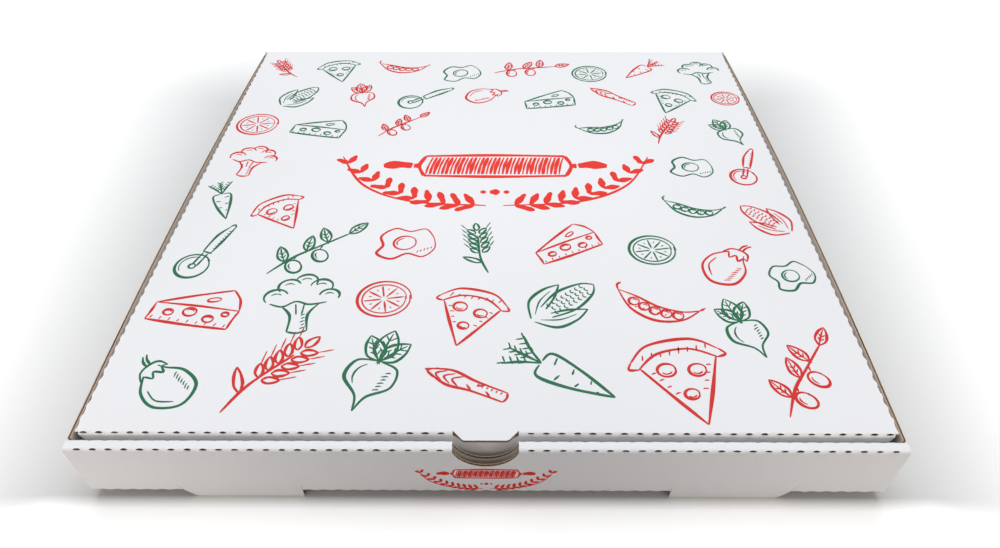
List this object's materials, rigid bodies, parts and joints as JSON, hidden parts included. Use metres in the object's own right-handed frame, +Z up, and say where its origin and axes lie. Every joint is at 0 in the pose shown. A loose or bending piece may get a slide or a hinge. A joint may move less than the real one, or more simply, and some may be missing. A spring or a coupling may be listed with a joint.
{
  "type": "pizza box",
  "caption": "Flat square takeaway food box folded from white corrugated board, with a roll-over front wall, thumb notch and a hinged tuck-in lid.",
  "frame": {"origin": "centre of the footprint, at the level of the front wall's lips, which reach lowest", "axes": "+X to the right seen from the front, +Y from the front wall with the thumb notch to the lid's rear fold, +Z up"},
  "size_m": [0.329, 0.323, 0.0347],
  "materials": {
    "tray_board": "white-lined corrugated board, matt, brown inside and at its cut edges",
    "lid_board": "white-lined corrugated board, matt, brown inside and at its cut edges, printed with red and green line drawings"
  },
  "bodies": {
    "tray": {"tray": "tray_board"},
    "lid": {"lid": "lid_board"}
  },
  "joints": [
    {"name": "lid_hinge", "type": "hinge", "parent": "tray", "child": "lid", "pos_m": [0, 0.16117, 0.03437], "axis": [-1, 0, 0], "range_deg": [0, 180]}
  ]
}
